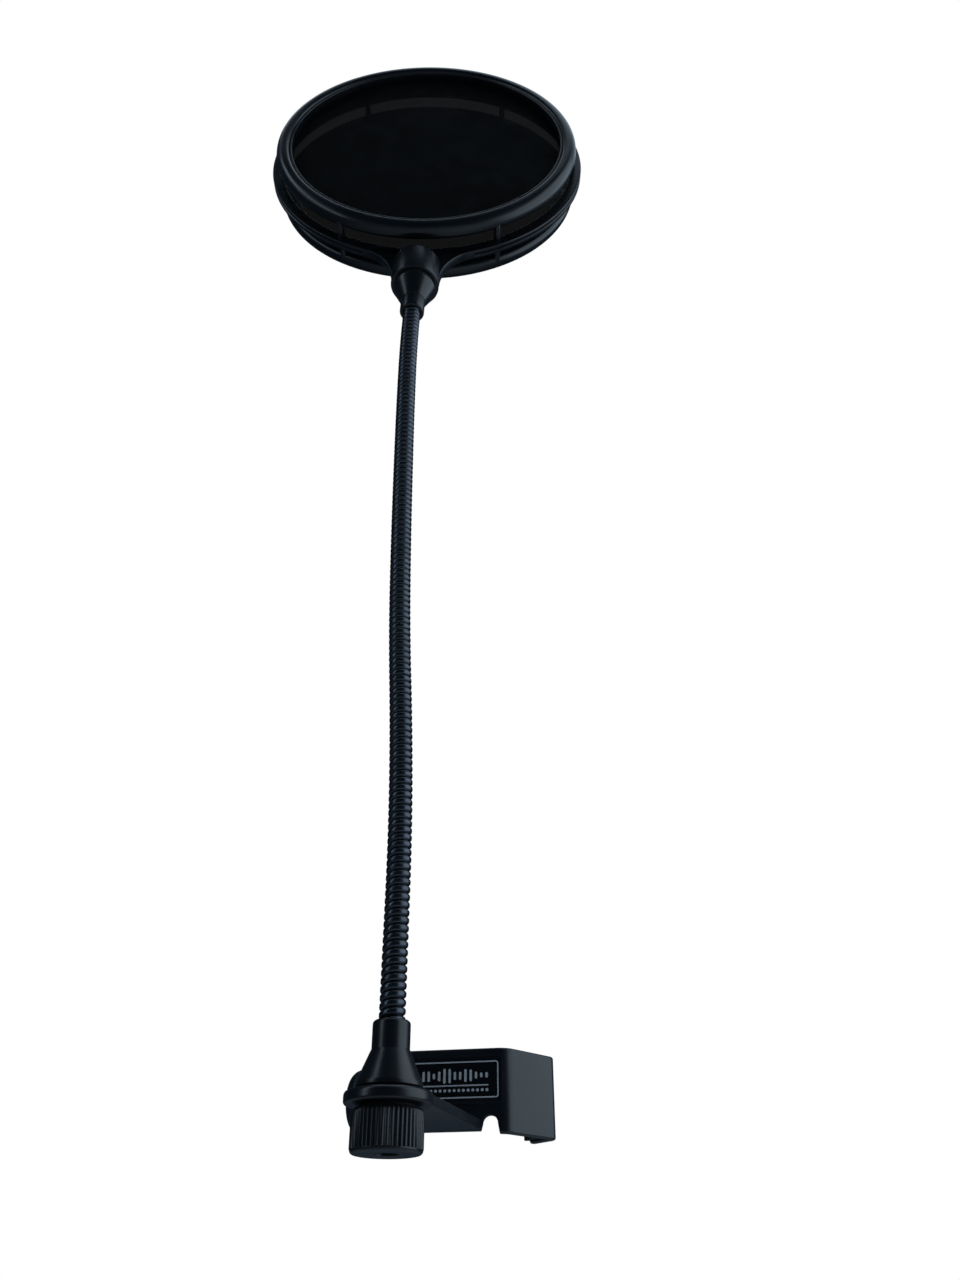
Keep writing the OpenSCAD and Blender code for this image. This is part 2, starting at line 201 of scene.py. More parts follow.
class PopFilterSettings(bpy.types.PropertyGroup):
    head: PointerProperty(type=HeadSettings)
    hose: PointerProperty(type=HoseSettings)
    clamp: PointerProperty(type=ClampSettings)
    finish: PointerProperty(type=FinishSettings)
    stage: PointerProperty(type=StageSettings)


def settings():
    return bpy.context.scene.pop_filter


# ---- materials -------------------------------------------------------------------

def add(tree, kind, inputs=None, **choices):
    """A shader node with its choices set and its inputs given values or links."""
    node = tree.nodes.new("ShaderNode" + kind)
    for name, choice in choices.items():
        setattr(node, name, choice)
    for name, value in (inputs or {}).items():
        if isinstance(value, bpy.types.NodeSocket):
            tree.links.new(value, node.inputs[name])
        else:
            node.inputs[name].default_value = value
    return node


def opaque(rgb):
    return (*rgb, 1.0)


def surface(name, look):
    """The material of that name, made by look the first time: look gives the shader's inputs."""
    found = bpy.data.materials.get(name)
    if found:
        return found
    made = bpy.data.materials.new(name)
    made.use_nodes = True
    tree = made.node_tree
    tree.nodes.clear()
    place = add(tree, "TexCoord").outputs["Object"]
    shader = add(tree, "BsdfPrincipled", look(tree, place))
    tree.links.new(shader.outputs[0], add(tree, "OutputMaterial").inputs["Surface"])
    return made


def grain(tree, place, size_mm, detail=3.0, roughness=0.6):
    """Noise whose lumps are about size_mm across."""
    return add(
        tree,
        "TexNoise",
        {"Vector": place, "Scale": 1 / (size_mm * MM), "Detail": detail, "Roughness": roughness},
    ).outputs["Fac"]


def spread(tree, value, low, high):
    """Noise stretched to run from low to high."""
    return add(
        tree,
        "MapRange",
        {"Value": value, "From Min": 0.3, "From Max": 0.7, "To Min": low, "To Max": high},
    ).outputs["Result"]


def between(tree, factor, first, second):
    """A mix of two colours."""
    mixed = add(tree, "Mix", data_type="RGBA")
    tree.links.new(factor, mixed.inputs["Factor"])
    for socket, value in ((mixed.inputs[6], first), (mixed.inputs[7], second)):
        if isinstance(value, bpy.types.NodeSocket):
            tree.links.new(value, socket)
        else:
            socket.default_value = value
    return mixed.outputs[2]


def bumped(tree, height, strength, depth_mm):
    return add(
        tree, "Bump", {"Height": height, "Strength": strength, "Distance": depth_mm * MM}
    ).outputs["Normal"]


def worn(tree, colour_in, pale):
    """Edges that handling has polished a little paler."""
    edge = add(
        tree,
        "MapRange",
        {
            "Value": add(tree, "NewGeometry").outputs["Pointiness"],
            "From Min": 0.52,
            "From Max": 0.62,
            "To Min": 0.0,
            "To Max": 0.5,
        },
    ).outputs["Result"]
    return between(tree, edge, colour_in, pale)


def moulded_abs():
    """Black ABS moulded in a spark-eroded tool: a satin bloom with soft broad highlights."""

    def look(tree, place):
        finish = settings().finish
        clouds = grain(tree, place, 22)
        tint = between(tree, clouds, opaque(finish.abs_dark), opaque(finish.abs_pale))
        # Tool grain is near 0.15 mm, drawn at 0.45 mm so that it shows.
        tooth = grain(tree, place, 0.45)
        return {
            "Base Color": worn(tree, tint, opaque(linear("#23272d"))),
            "Roughness": spread(tree, clouds, 0.25, 0.34),
            "Normal": bumped(tree, tooth, 0.25, 0.03),
            "Specular IOR Level": 0.5,
            "IOR": 1.53,
        }

    return surface("abs_spark_eroded", look)


def plated_steel():
    """Spring steel wound and plated black: dark metal with tight bright glints on each turn."""

    def look(tree, place):
        finish = settings().finish
        smear = grain(tree, place, 6)
        tint = between(tree, smear, opaque(finish.steel), opaque(linear("#40444b")))
        drawn = grain(tree, place, 0.5, 2.0)
        return {
            "Base Color": tint,
            "Metallic": 1.0,
            "Roughness": spread(tree, smear, 0.24, 0.36),
            "Normal": bumped(tree, drawn, 0.15, 0.02),
        }

    return surface("steel_black_plated", look)


def knitted_nylon():
    """Black stocking nylon, knitted and heat-set flat: near opaque, dull, with a fine even rib."""

    def look(tree, place):
        finish = settings().finish
        # The knit's wales are near 0.35 mm apart, drawn 0.9 mm apart so that they show.
        wale = add(
            tree,
            "TexWave",
            {"Vector": place, "Scale": 1 / (0.9 * MM) / 6.283, "Distortion": 0.6, "Detail": 1.0},
            bands_direction="X",
        ).outputs["Fac"]
        course = add(
            tree,
            "TexWave",
            {"Vector": place, "Scale": 1 / (0.9 * MM) / 6.283, "Distortion": 0.6, "Detail": 1.0},
            bands_direction="Z",
        ).outputs["Fac"]
        knit = add(tree, "Math", {0: wale, 1: course}, operation="MULTIPLY").outputs[0]
        tint = between(tree, knit, opaque(finish.nylon), opaque(linear("#06070b")))
        return {
            "Base Color": tint,
            "Roughness": spread(tree, grain(tree, place, 9), 0.62, 0.8),
            "Normal": bumped(tree, knit, 0.35, 0.08),
            "Sheen Weight": 0.01,
            "Sheen Roughness": 0.4,
            "Specular IOR Level": 0.06,
            "Alpha": 0.925,
        }

    return surface("nylon_knit_black", look)


def moulded_rubber():
    """Black nitrile rubber, moulded: matte, with a faint dusty bloom."""

    def look(tree, place):
        dust = grain(tree, place, 5)
        return {
            "Base Color": between(
                tree, dust, opaque(settings().finish.rubber), opaque(linear("#1f1f20"))
            ),
            "Roughness": spread(tree, dust, 0.68, 0.86),
            "Normal": bumped(tree, grain(tree, place, 0.6), 0.3, 0.04),
        }

    return surface("rubber_moulded", look)


def zinc_plate():
    """Turned steel, bright zinc plated: cool silver with fine drawn streaks."""

    def look(tree, place):
        streak = grain(tree, place, 0.5, 4.0)
        cloud = grain(tree, place, 4)
        return {
            "Base Color": between(
                tree, cloud, opaque(settings().finish.zinc), opaque(linear("#9a9fa6"))
            ),
            "Metallic": 1.0,
            "Roughness": spread(tree, cloud, 0.22, 0.36),
            "Normal": bumped(tree, streak, 0.2, 0.02),
        }

    return surface("zinc_bright_plate", look)


def turned_brass():
    """Brass inserts, turned: warm yellow metal with fine tool marks."""

    def look(tree, place):
        marks = grain(tree, place, 0.4, 4.0)
        cloud = grain(tree, place, 3)
        return {
            "Base Color": between(
                tree, cloud, opaque(settings().finish.brass), opaque(linear("#8f6f3c"))
            ),
            "Metallic": 1.0,
            "Roughness": spread(tree, cloud, 0.25, 0.4),
            "Normal": bumped(tree, marks, 0.25, 0.02),
        }

    return surface("brass_turned", look)


def badge_gloss():
    """Polyester badge, gloss black with a fine metallic fleck under the varnish."""

    def look(tree, place):
        fleck = grain(tree, place, 0.35, 2.0, 0.8)
        bright = add(
            tree,
            "MapRange",
            {"Value": fleck, "From Min": 0.6, "From Max": 0.75, "To Min": 0.0, "To Max": 0.5},
        ).outputs["Result"]
        return {
            "Base Color": between(
                tree, bright, opaque(settings().finish.badge), opaque(linear("#4a4e52"))
            ),
            "Roughness": spread(tree, grain(tree, place, 8), 0.16, 0.26),
            "Normal": bumped(tree, fleck, 0.1, 0.02),
        }

    return surface("badge_polyester_gloss", look)


def silver_print():
    """Silver ink, screen printed: bright, slightly rough, with thin spots."""

    def look(tree, place):
        thin = grain(tree, place, 0.5, 3.0)
        return {
            "Base Color": between(
                tree, thin, opaque(settings().finish.print), opaque(linear("#c9cccf"))
            ),
            "Metallic": 0.1,
            "Roughness": spread(tree, thin, 0.4, 0.55),
            "Normal": bumped(tree, thin, 0.15, 0.02),
        }

    return surface("silver_ink", look)


def painted_floor():
    """Pale matt sweep under the object: it looks lit to the camera, and throws no light on the object."""

    def look(tree, place):
        paint = between(
            tree, grain(tree, place, 300), opaque(linear("#eeeeec")), opaque(linear("#f6f6f5"))
        )
        seen = add(tree, "LightPath").outputs["Is Camera Ray"]
        return {
            "Base Color": paint,
            "Roughness": 0.9,
            "Emission Color": paint,
            "Emission Strength": add(tree, "Math", {0: seen, 1: 0.6}, operation="MULTIPLY").outputs[0],
        }

    return surface("floor_matt_paint", look)


# ---- shaping ---------------------------------------------------------------------

def outline(bm, corners, closed=True, steps=4):
    """A chain of edges in the XZ plane through corners of (across, up, rounding)."""
    verts = [bm.verts.new((x, 0, z)) for x, z, _ in corners]
    ends = verts[1:] + verts[:1] if closed else verts[1:]
    for first, second in zip(verts, ends):
        bm.edges.new((first, second))
    for vert, (_, _, rounding) in zip(verts, corners):
        if rounding:
            bmesh.ops.bevel(
                bm,
                geom=[vert],
                offset=rounding,
                offset_type="OFFSET",
                segments=steps if rounding < 1.5 else 3 * steps,
                profile=0.5,
                affect="VERTICES",
                material=-1,
            )


def merge_into(bm, part, place=Matrix.Identity(4)):
    """Adds part, moved to place, to bm."""
    part.transform(place)
    mesh = bpy.data.meshes.new("part")
    part.to_mesh(mesh)
    part.free()
    bm.from_mesh(mesh)
    bpy.data.meshes.remove(mesh)


def spun(bm, corners, steps=96, closed=True, place=Matrix.Identity(4), shape=None):
    """Adds a turned shape to bm: corners spun about Z. An open chain starts and ends on the axis."""
    part = bmesh.new()
    outline(part, corners, closed)
    bmesh.ops.spin(
        part,
        geom=part.verts[:] + part.edges[:],
        cent=(0, 0, 0),
        axis=(0, 0, 1),
        dvec=(0, 0, 0),
        angle=math.tau,
        steps=steps,
        use_merge=True,
        use_duplicate=False,
    )
    bmesh.ops.remove_doubles(part, verts=part.verts, dist=1e-4)
    bmesh.ops.dissolve_degenerate(part, edges=part.edges, dist=1e-4)
    bmesh.ops.recalc_face_normals(part, faces=part.faces)
    if shape:
        shape(part)
    merge_into(bm, part, place)


def ribs(count, low, high, inside, depth):
    """Cuts upright ribs into a turned shape between two heights, outside a radius."""

    def cut(part):
        for vert in part.verts:
            radius = vert.co.xy.length
            if radius > inside and low <= vert.co.z <= high:
                wave = 0.5 - 0.5 * math.cos(count * math.atan2(vert.co.y, vert.co.x))
                vert.co.xy *= 1 - depth * wave**1.6 / radius

    return cut


def wound(bm, ridge, pitch, low, high, steps, place=Matrix.Identity(4), shape=None):
    """Adds a rod from low to high whose radii in ridge repeat along a helix of that pitch."""
    part = bmesh.new()
    # Lengths of one winding start on the same turns, so that their ridges run on.
    start = (math.floor(low / pitch) - 2) * pitch
    turns = math.ceil((high - start) / pitch) + 2
    rise = pitch / len(ridge)
    chain = [
        part.verts.new((ridge[i % len(ridge)], 0, start + i * rise))
        for i in range(turns * len(ridge) + 1)
    ]
    for first, second in zip(chain, chain[1:]):
        part.edges.new((first, second))
    bmesh.ops.spin(
        part,
        geom=part.verts[:] + part.edges[:],
        cent=(0, 0, 0),
        axis=(0, 0, 1),
        dvec=(0, 0, pitch / steps),
        angle=math.tau,
        steps=steps,
        use_merge=False,
        use_duplicate=False,
    )
    bmesh.ops.remove_doubles(part, verts=part.verts, dist=1e-3)
    for height, outward in ((low, -1), (high, 1)):
        bmesh.ops.bisect_plane(
            part,
            geom=part.verts[:] + part.edges[:] + part.faces[:],
            dist=1e-5,
            plane_co=(0, 0, height),
            plane_no=(0, 0, outward),
            clear_outer=True,
        )
    bmesh.ops.holes_fill(part, edges=[e for e in part.edges if e.is_boundary], sides=0)
    bmesh.ops.recalc_face_normals(part, faces=part.faces)
    if shape:
        shape(part)
    merge_into(bm, part, place)


def soften(bm, edges, width, segments=3):
    bmesh.ops.bevel(
        bm,
        geom=edges,
        offset=width,
        offset_type="OFFSET",
        segments=segments,
        profile=0.5,
        affect="EDGES",
        clamp_overlap=True,
        material=-1,
    )


def sharp_edges(bm, angle=28):
    limit = math.radians(angle)
    return [e for e in bm.edges if e.is_manifold and e.calc_face_angle(0) > limit]


def slab(bm, points, low, high, width=0.0, place=Matrix.Identity(4)):
    """Adds a flat outline drawn in XZ, thick from low to high along Y, with softened edges."""
    part = bmesh.new()
    face = part.faces.new([part.verts.new((x, low, z)) for x, z in points])
    moved = bmesh.ops.extrude_face_region(part, geom=[face])["geom"]
    bmesh.ops.translate(
        part, vec=(0, high - low, 0), verts=[v for v in moved if isinstance(v, bmesh.types.BMVert)]
    )
    bmesh.ops.recalc_face_normals(part, faces=part.faces)
    if width:
        soften(part, sharp_edges(part), width)
    merge_into(bm, part, place)


def finished(name, bm, material, place=Matrix.Identity(4), smooth=32):
    """The finished mesh as an object at the origin, with its material."""
    bm.transform(place)
    mesh = bpy.data.meshes.new(name)
    bm.to_mesh(mesh)
    bm.free()
    mesh.shade_smooth()
    mesh.set_sharp_from_angle(angle=math.radians(smooth))
    mesh.materials.append(material)
    made = bpy.data.objects.new(name, mesh)
    bpy.context.scene.collection.objects.link(made)
    return made


def from_cad(node):
    """A bmesh, in millimetres, of a merged copy of a CAD node with its flat faces made whole."""
    bm = bmesh.new()
    bm.from_mesh(frame["nodes"][node].data)
    bm.transform(Matrix.Scale(1 / MM, 4))
    bmesh.ops.remove_doubles(bm, verts=bm.verts, dist=1e-3)
    bmesh.ops.dissolve_limit(
        bm, angle_limit=math.radians(0.6), verts=bm.verts, edges=bm.edges, delimit={"NORMAL"}
    )
    return bm


def cut_out(made, cutter):
    """Cuts the shape in the bmesh cutter out of an object's mesh."""
    mesh = bpy.data.meshes.new("cutter")
    cutter.to_mesh(mesh)
    cutter.free()
    tool = bpy.data.objects.new("cutter", mesh)
    bpy.context.scene.collection.objects.link(tool)
    cut = made.modifiers.new("cut", "BOOLEAN")
    cut.operation = "DIFFERENCE"
    cut.solver = "EXACT"
    cut.object = tool
    graph = bpy.context.evaluated_depsgraph_get()
    result = bpy.data.meshes.new_from_object(made.evaluated_get(graph))
    made.modifiers.clear()
    old, made.data = made.data, result
    bpy.data.meshes.remove(old)
    bpy.data.objects.remove(tool)


def block(bm, low, high, width=0.0, segments=3):
    """Adds a box between two corners, with softened edges."""
    part = bmesh.new()
    bmesh.ops.create_cube(part, size=1)
    size = Vector(high) - Vector(low)
    bmesh.ops.scale(part, vec=size, verts=part.verts)
    bmesh.ops.translate(part, vec=Vector(low) + size / 2, verts=part.verts)
    if width:
        soften(part, part.edges[:], width, segments)
    merge_into(bm, part)


def mm(value):
    return value / MM


class PieceOperator:
    bl_options = {"REGISTER", "UNDO"}


# ---- head ------------------------------------------------------------------------

class POPFILTER_OT_rings(PieceOperator, bpy.types.Operator):
    """Builds both screen rings, their press rings and their nylon screens"""

    bl_idname = "popfilter.rings"
    bl_label = "Screen rings"

    def execute(self, context):
        head = settings().head
        radius, front = mm(head.ring_radius), mm(head.ring_front)
        bore, lip = mm(head.bore_radius), mm(head.lip_radius)
        shelf_thick, nylon_thick, press_tall = 3.0, 0.6, 3.4
        press_gap, nylon_gap = 0.04, 0.05
        back = front - mm(head.ring_depth)
        shelf = back + shelf_thick
        seat = shelf + nylon_thick
        for side, place in (("front", RINGS), ("rear", RINGS @ BACKWARDS)):
            bm = bmesh.new()
            moulding = [
                (lip, back, 0.4),
                (radius, back, mm(head.back_rounding)),
                (radius, front, mm(head.front_rounding)),
                (bore, front, mm(head.mouth_rounding)),
                (bore, shelf, 0.0),
                (lip, shelf, 0.2),
            ]
            spun(bm, moulding, 192)
            ring = finished(f"ring_{side}", bm, moulded_abs(), place)
            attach(ring, "head")
            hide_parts(f"{side}_ring")

            bm = bmesh.new()
            collar = [
                (lip, seat, 0.1),
                (bore - press_gap, seat, 0.1),
                (bore - press_gap, seat + press_tall, 0.3),
                (lip, seat + press_tall, 0.5),
            ]
            spun(bm, collar, 192)
            press = finished(f"press_{side}", bm, moulded_abs(), place)
            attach(press, "head")
            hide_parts(f"{side}_press_ring")

            bm = bmesh.new()
            reach = bore - nylon_gap
            disc = [(0, shelf, 0), (reach, shelf, 0), (reach, seat, 0), (0, seat, 0)]
            spun(bm, disc, 192, closed=False)
            screen = finished(f"nylon_{side}", bm, knitted_nylon(), place)
            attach(screen, "head")
            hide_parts(f"{side}_screen")
        return {"FINISHED"}


class POPFILTER_OT_hoop(PieceOperator, bpy.types.Operator):
    """Builds the carrier hoop with its flared web and boss, and the spacer pegs"""

    bl_idname = "popfilter.hoop"
    bl_label = "Carrier hoop"

    def execute(self, context):
        head = settings().head
        outer, half = mm(head.hoop_radius), mm(head.hoop_depth) / 2
        inner = outer - mm(head.hoop_width)
        groove_half, groove_deep = 0.45, 0.9
        bm = bmesh.new()
        section = [
            (inner, -half, 0.5),
            (outer, -half, 0.5),
            (outer, -groove_half, 0.15),
            (outer - groove_deep, 0, 0.2),
            (outer, groove_half, 0.15),
            (outer, half, 0.5),
            (inner, half, 0.5),
        ]
        to_head = Matrix.Translation((0, 0, HEAD_RISE)) @ Matrix.Rotation(math.radians(90), 4, "X")
        spun(bm, section, 192, place=to_head)

        # The web leaves the boss on a curve that runs into the hoop.
        boss, tall, flare, steps = 11.2, 16.0, 24.0, 16
        side = boss + flare
        drop = math.sqrt((outer + flare) ** 2 - side**2)
        foot = HEAD_RISE - drop
        last = math.atan2(drop, -side)
        turn = [math.pi + (last - math.pi) * i / steps for i in range(steps + 1)]
        right = [(side + flare * math.cos(a), foot + flare * math.sin(a)) for a in turn]
        left = [(-x, z) for x, z in reversed(right)]
        slab(bm, right + left, -half, half, 0.5)
        well, roof = 5.05, 3.8
        socket = [
            (0, tall, 0),
            (boss, tall, 0.7),
            (boss, 0, 0.4),
            (well, 0, 0),
            (well, tall - roof, 0),
            (0, tall - roof, 0),
        ]
        spun(bm, socket, 96, closed=False)
        hoop = finished("hoop", bm, moulded_abs(), HEAD)
        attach(hoop, "head")
        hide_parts("carrier_hoop")

        bm = bmesh.new()
        ring = mm(head.ring_radius)
        thick, sunk = 1.5, 2.6
        out = (ring + inner) / 2 - 0.1
        reach = mm(head.ring_front - head.ring_depth) + sunk
        peg = [(0, -reach, 0), (thick, -reach, 0.4), (thick, reach, 0.4), (0, reach, 0)]
        for i in range(head.peg_count):
            spin = Matrix.Rotation(math.tau * i / head.peg_count, 4, "Z")
            spun(bm, peg, 24, closed=False, place=spin @ Matrix.Translation((out, 0, 0)))
        pegs = finished("pegs", bm, moulded_abs(), RINGS)
        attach(pegs, "head")
        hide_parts("spacer_pegs")
        return {"FINISHED"}


# ---- hose ------------------------------------------------------------------------

class POPFILTER_OT_ferrules(PieceOperator, bpy.types.Operator):
    """Builds the two ferrules and the rubber washers that they turn on"""

    bl_idname = "popfilter.ferrules"
    bl_label = "Ferrules"

    def execute(self, context):
        foot, tall, sleeve, cone = 9.65, 18.4, 5.55, 10.2
        stud, well, well_deep = 2.95, 4.02, 7.6
        moulding = [
            (stud, 0, 0.2),
            (foot, 0, 0.35),
            (foot, 1.2, 0.35),
            (sleeve + 0.15, cone, 0),
            (sleeve, cone + 0.05, 0),
            (sleeve, tall, 1.0),
            (well, tall, 0.3),
            (well, tall - well_deep, 0),
            (stud, tall - well_deep, 0),
        ]
        thin, thick = 0.8, 1.6
        on_eye = BASE @ Matrix.Translation((0, 0, EYE_THICK))
        under_eye = BASE @ Matrix.Translation((0, 0, -thin))
        under_boss = HEAD @ Matrix.Translation((0, 0, -thick))
        for name, node, body, place in (
            ("ferrule_lower", "lower_ferrule", "neck_1", on_eye @ Matrix.Translation((0, 0, thin))),
            ("ferrule_upper", "upper_ferrule", "neck_9", under_boss @ BACKWARDS),
        ):
            bm = bmesh.new()
            spun(bm, moulding, 128)
            ferrule = finished(name, bm, moulded_abs(), place)
            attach(ferrule, body)
            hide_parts(node)
        for name, node, body, radius, tall, place in (
            ("washer_lower", "swivel_washer", "neck_1", 8.7, thin, on_eye),
            ("washer_thrust", "thrust_washer", "washer", 8.0, thin, under_eye),
            ("washer_upper", "head_washer", "head", 9.2, thick, under_boss),
        ):
            bm = bmesh.new()
            spun(bm, [(3, 0, 0.1), (radius, 0, 0.2), (radius, tall, 0.2), (3, tall, 0.1)], 96)
            washer = finished(name, bm, moulded_rubber(), place)
            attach(washer, body)
            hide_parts(node)
        return {"FINISHED"}


def hose_marks():
    """The hose's line: where it leaves the lower ferrule, halfway between bends, and enters the upper."""
    bends = [joint_at(f"bend_{i}") for i in range(1, BENDS + 1)]
    step = bends[1].z - bends[0].z
    foot = bends[0] - Vector((0, 0, step / 2))
    rise = HEAD_UP * (step / 2 / HEAD_UP.z)
    marks = [foot] + [(a + b) / 2 for a, b in zip(bends, bends[1:])] + [bends[-1] + rise]
    return bends, marks, step


class POPFILTER_OT_hose(PieceOperator, bpy.types.Operator):
    """Builds the wound hose as one length over each bend, bending smoothly there"""

    bl_idname = "popfilter.hose"
    bl_label = "Gooseneck hose"

    def execute(self, context):
        hose = settings().hose
        pitch, radius, groove = mm(hose.pitch), mm(hose.radius), mm(hose.groove)
        shares = 8
        ridge = [radius - groove * abs(2 * i / shares - 1) ** 3.2 for i in range(shares)]
        bends, marks, step = hose_marks()
        hidden = 6.5 * MM
        for i in range(BENDS):
            low = marks[i].z - (hidden if i == 0 else 0)
            high = marks[i + 1].z + (hidden if i == BENDS - 1 else 0)
            first, turn, last = marks[i], bends[i], marks[i + 1]

            def follow(part, first=first, turn=turn, last=last):
                for vert in part.verts:
                    t = (vert.co.z * MM - first.z) / step
                    if t < 0:
                        line = first + (turn - first) * 2 * t
                    elif t > 1:
                        line = last + (last - turn) * 2 * (t - 1)
                    else:
                        line = first * (1 - t) ** 2 + turn * 2 * t * (1 - t) + last * t**2
                    vert.co.x += mm(line.x)
                    vert.co.y += mm(line.y)

            bm = bmesh.new()
            wound(bm, ridge, pitch, mm(low), mm(high), 28, shape=follow)
            length_of = finished(f"hose_{i + 1}", bm, plated_steel(), IN_MM, 50)
            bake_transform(length_of)
            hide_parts(f"gooseneck_{i + 1}")
            if i == BENDS - 1:
                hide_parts(f"gooseneck_{i + 2}")
        return {"FINISHED"}


# ---- clamp -----------------------------------------------------------------------

class POPFILTER_OT_swivel(PieceOperator, bpy.types.Operator):
    """Builds the knurled swivel nut and the stud that it turns on"""

    bl_idname = "popfilter.swivel"
    bl_label = "Swivel nut"

    def execute(self, context):
        count = settings().clamp.nut_ribs
        top, low, ribs_low = -0.8, -12.4, -11.2
        rim, crest, well = 10.15, 10.3, 3.55
        bm = bmesh.new()
        section = [
            (well, low, 0.3),
            (rim, low, 1.0),
            (rim, ribs_low - 0.1, 0),
            (crest, ribs_low, 0),
            (crest, top - 1.3, 0),
            (crest - 0.7, top - 0.1, 0.1),
            (well, top, 0),
        ]
        cut = ribs(count, ribs_low - 0.05, top - 0.9, crest - 0.3, 0.42)
        spun(bm, section, 6 * count, shape=cut)
        nut = finished("nut", bm, moulded_abs(), BASE)
        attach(nut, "nut")
        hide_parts("swivel_nut")

        bm = bmesh.new()
        stud_low, stud_top = -10.4, 14.0
        wound(bm, thread(2.95, 0.5), 1.0, stud_low, stud_top, 32)
        stud = finished("stud_lower", bm, zinc_plate(), BASE, 40)
        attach(stud, "neck_1")
        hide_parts("lower_stud")
        return {"FINISHED"}


def thread(radius, depth):
    """Radii over one turn of a thread: crest, flank, root, flank."""
    return [radius, radius, radius - depth / 2, radius - depth, radius - depth, radius - depth / 2]


SCREW_V, SCREW_W = 66.5, 12.0
KNOB_LEFT, KNOB_LEN = -30.6, 12.0


def along_screw(u):
    """The place of a shape that starts at u and runs along the clamp screw."""
    return BRACKET @ Matrix.Translation((u, SCREW_V, SCREW_W)) @ TO_RIGHT


class POPFILTER_OT_screw(PieceOperator, bpy.types.Operator):
    """Builds the clamp's knob, screw, pressure pad and pad facing"""

    bl_idname = "popfilter.screw"
    bl_label = "Clamp screw"

    def execute(self, context):
        clamp = settings().clamp
        # The knob is moulded round the screw's end, which stands in its well.
        radius, dome, well, floor = 10.5, 4.8, 4.05, 3.0
        bm = bmesh.new()
        section = [
            (0, 0, 0),
            (radius, 0, dome),
            (radius, KNOB_LEN, 0.5),
            (well, KNOB_LEN, 0.3),
            (well, floor, 0),
            (0, floor, 0),
        ]
        cut = ribs(clamp.knob_ribs, 4.0, KNOB_LEN - 0.6, radius - 0.7, 0.45)
        spun(bm, section, 6 * clamp.knob_ribs, closed=False, shape=cut)
        knob = finished("knob", bm, moulded_abs(), along_screw(KNOB_LEFT))
        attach(knob, "screw")
        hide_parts("clamp_knob")

        bm = bmesh.new()
        tube_at, tube_r, tube_gap = 21.6, 10.0, 0.6
        facing_thick, pad_thick, pad_floor = 1.6, 3.4, 1.2
        pad_face = tube_at - tube_r - tube_gap
        pad_back = pad_face - facing_thick - pad_thick
        seat = pad_thick - pad_floor
        reach = pad_back + seat - 0.2 - KNOB_LEFT - floor
        wound(bm, thread(3.95, 0.65), 1.25, 0.05, reach, 40)
        screw = finished("screw", bm, zinc_plate(), along_screw(KNOB_LEFT + floor), 40)
        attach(screw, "screw")
        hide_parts("clamp_screw")

        bm = bmesh.new()
        cup = [
            (well, 0, 0.3),
            (7, 0, 0.5),
            (7, pad_thick, 0.3),
            (0, pad_thick, 0),
            (0, seat, 0),
            (well, seat, 0),
        ]
        spun(bm, cup, 72)
        pad = finished("pad", bm, moulded_abs(), along_screw(pad_back))
        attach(pad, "pad")
        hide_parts("pressure_pad")

        bm = bmesh.new()
        thick, deep = facing_thick, 0.4
        grooved = [(0, 0, 0), (6.6, 0, 0.1), (6.6, thick, 0.4)]
        for middle in (4.6, 2.3):
            grooved += [
                (middle + 0.3, thick, 0.1),
                (middle, thick - deep, 0.1),
                (middle - 0.3, thick, 0.1),
            ]
        grooved.append((0, thick, 0))
        spun(bm, grooved, 72, closed=False)
        facing = finished("facing", bm, moulded_rubber(), along_screw(pad_face - thick))
        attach(facing, "pad")
        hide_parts("pad_facing")
        return {"FINISHED"}


def beside(first, corner, second, side):
    """The mitred corner that lies side to the left of the line first, corner, second."""
    before, after = (corner - first).normalized(), (second - corner).normalized()
    left, right = Vector((-before.y, before.x)), Vector((-after.y, after.x))
    return corner + side * (left + right) / (1 + left.dot(right))


def hook_side(side, turn):
    """The wall's elbow, hook and hook end, stood off to one side of its middle line."""
    start = Vector((WALL_LEFT, ELBOW.y))
    last = (HOOK_END - HOOK).normalized()
    end = HOOK_END + side * Vector((-last.y, last.x))
    elbow, hook = beside(start, ELBOW, HOOK, side), beside(ELBOW, HOOK, HOOK_END, side)
    return [(*elbow, turn), (*hook, turn), (*end, 1.2)]


def wall_plan(corner):
    """The wall's whole outline: along the label, round the elbow and the hook, and back inside."""
    outside = hook_side(-WALL_THICK / 2, corner)
    inside = hook_side(WALL_THICK / 2, WALL_THICK / 2)[::-1]
    return [(WALL_LEFT, WALL_V, 1.2), *outside, *inside, (WALL_LEFT, WALL_V + WALL_THICK, 0)]


def touching(point, side):
    """Where the straight edge from a point runs into the eye, just inside its rim."""
    reach = Vector(point)
    angle = math.atan2(reach.y, reach.x) + side * math.acos((EYE_RADIUS - 1) / reach.length)
    return ((EYE_RADIUS - 1) * math.cos(angle), (EYE_RADIUS - 1) * math.sin(angle))


def foot_plan():
    """The foot plate's outline, from the eye out to the wall on each side."""
    right, left = (NOTCH_U - NOTCH_R, WALL_V + 1), (WALL_LEFT, WALL_V + 1)
    return [(*p, 0) for p in (touching(right, -1), right, left, touching(left, 1))]


